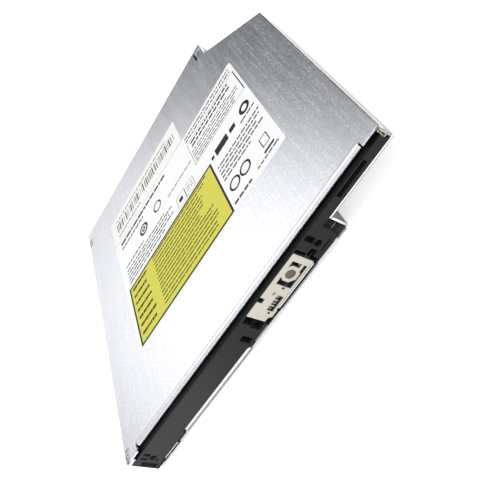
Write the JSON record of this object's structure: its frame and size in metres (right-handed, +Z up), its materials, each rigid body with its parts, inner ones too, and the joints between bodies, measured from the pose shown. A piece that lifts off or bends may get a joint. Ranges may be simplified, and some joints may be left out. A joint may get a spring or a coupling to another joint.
{
  "type": "internal DVD writer",
  "caption": "Slim tray-loading optical disc drive for a notebook, stepped sheet-metal case with a cut corner, sliding tray, pickup on rods, no front bezel.",
  "frame": {"origin": "centre of the footprint on the underside of the housing", "axes": "X across the drive to the right as seen from the tray's front, Y from the front to the rear, Z up"},
  "size_m": [0.128, 0.1262, 0.0128],
  "materials": {
    "steel_pan": "rolled zinc-coated sheet, fine grain along X",
    "steel_cover": "satin sheet with a fine grain along X",
    "steel_bright": "bright stamped sheet",
    "steel_rod": "polished",
    "screw_steel": "dark plated",
    "label_print": "printed paper label",
    "label_code": "printed paper label",
    "guide_plastic": "natural acetal",
    "tray_plastic": "fine-grained black moulding",
    "plate_plastic": "cream moulding",
    "button_plastic": "brown-grey moulding",
    "board": "solder-masked laminate",
    "chip_black": "moulded package",
    "part_tan": "ceramic parts",
    "connector_black": "moulded connector body",
    "connector_white": "moulded connector body",
    "flex": "polyimide film",
    "rubber_black": "soft rubber",
    "copper": "wound enamelled wire on steel poles",
    "coil_brown": "taped coil in a steel yoke",
    "turntable_metal": "turned",
    "claw_plastic": "natural acetal",
    "pickup_body": "filled moulding",
    "lens_glass": "coated"
  },
  "bodies": {
    "housing": {"bottom_housing": "steel_pan", "top_cover": "steel_cover", "cover_screws": "screw_steel", "rating_label": "label_print", "barcode_label": "label_code", "guide_left": "guide_plastic", "guide_right": "guide_plastic", "lock_catch": "steel_bright", "connector_board": "board", "rear_connector": "connector_black", "flex_cable": "flex"},
    "tray": {"tray": "tray_plastic", "front_plate": "plate_plastic", "front_board": "board", "front_board_parts": "part_tan", "eject_switch": "connector_black", "front_screws": "screw_steel", "bottom_shield": "steel_bright", "shield_screws": "screw_steel", "traverse_chassis": "steel_pan", "traverse_cover": "steel_bright", "guide_rods": "steel_rod", "dampers": "rubber_black", "spindle_motor": "copper", "sled_motor": "steel_bright", "main_board": "board", "board_chips": "chip_black", "board_sockets": "connector_white", "lock_solenoid": "coil_brown", "pickup_ribbon": "flex", "push_spring": "steel_rod"},
    "rail_left": {"rail_left": "steel_bright"},
    "rail_right": {"rail_right": "steel_bright"},
    "spindle": {"turntable": "turntable_metal", "turntable_ring": "rubber_black"},
    "claw_1": {"hub_claw_1": "claw_plastic"},
    "claw_2": {"hub_claw_2": "claw_plastic"},
    "claw_3": {"hub_claw_3": "claw_plastic"},
    "pickup": {"pickup": "pickup_body"},
    "lens_holder": {"lens_holder": "connector_black", "lens": "lens_glass"},
    "lead_screw": {"lead_screw": "steel_rod"},
    "eject_button": {"eject_button": "button_plastic"},
    "latch": {"latch_lever": "steel_bright"},
    "plunger": {"solenoid_plunger": "steel_rod"},
    "push_rod": {"push_rod": "guide_plastic"}
  },
  "joints": [
    {"name": "tray_slide", "type": "slide", "parent": "housing", "child": "tray", "axis": [0, -1, 0], "range_m": [0, 0.126], "deforming": ["flex_cable"]},
    {"name": "rail_left_slide", "type": "slide", "parent": "housing", "child": "rail_left", "axis": [0, -1, 0], "range_m": [0, 0.063]},
    {"name": "rail_right_slide", "type": "slide", "parent": "housing", "child": "rail_right", "axis": [0, -1, 0], "range_m": [0, 0.063]},
    {"name": "spindle_turn", "type": "hinge", "parent": "tray", "child": "spindle", "pos_m": [0, 0.00145, 0.007], "axis": [0, 0, 1], "continuous": true},
    {"name": "pickup_slide", "type": "slide", "parent": "tray", "child": "pickup", "axis": [-0.7071, -0.7071, 0], "range_m": [0, 0.033], "deforming": ["pickup_ribbon"]},
    {"name": "lead_screw_turn", "type": "hinge", "parent": "tray", "child": "lead_screw", "pos_m": [-0.00749, -0.03348, 0.0045], "axis": [-0.7071, -0.7071, 0], "range_deg": [-3961, 0]},
    {"name": "lens_focus", "type": "slide", "parent": "pickup", "child": "lens_holder", "axis": [0, 0, 1], "range_m": [-0.0003, 0.0003], "stiffness_N_per_m": 60},
    {"name": "button_press", "type": "slide", "parent": "tray", "child": "eject_button", "axis": [0, 1, 0], "range_m": [0, 0.00025], "stiffness_N_per_m": 1500, "springref_m": -0.0002},
    {"name": "latch_turn", "type": "hinge", "parent": "tray", "child": "latch", "pos_m": [0.0296, -0.03805, 0.00305], "axis": [0, 0, 1], "range_deg": [0, 10]},
    {"name": "plunger_slide", "type": "slide", "parent": "tray", "child": "plunger", "axis": [0, 1, 0], "range_m": [-0.00137, 0]},
    {"name": "push_rod_slide", "type": "slide", "parent": "tray", "child": "push_rod", "axis": [0, 1, 0], "range_m": [0, 0.015], "deforming": ["push_spring"]},
    {"name": "claw_1_slide", "type": "slide", "parent": "spindle", "child": "claw_1", "axis": [-0.7071, 0.7071, 0], "range_m": [0, 0.0004], "stiffness_N_per_m": 200},
    {"name": "claw_2_slide", "type": "slide", "parent": "spindle", "child": "claw_2", "axis": [-0.2588, -0.9659, 0], "range_m": [0, 0.0004], "stiffness_N_per_m": 200},
    {"name": "claw_3_slide", "type": "slide", "parent": "spindle", "child": "claw_3", "axis": [0.9659, 0.2588, 0], "range_m": [0, 0.0004], "stiffness_N_per_m": 200}
  ],
  "couplings": [
    {"joint": "rail_left_slide", "follows": "tray_slide", "ratio": 0.5},
    {"joint": "rail_right_slide", "follows": "tray_slide", "ratio": 0.5},
    {"joint": "push_rod_slide", "follows": "tray_slide", "ratio": 0.119},
    {"joint": "lead_screw_turn", "follows": "pickup_slide", "rad_per_m": -2094.4},
    {"joint": "latch_turn", "follows": "plunger_slide", "rad_per_m": -126.58}
  ]
}
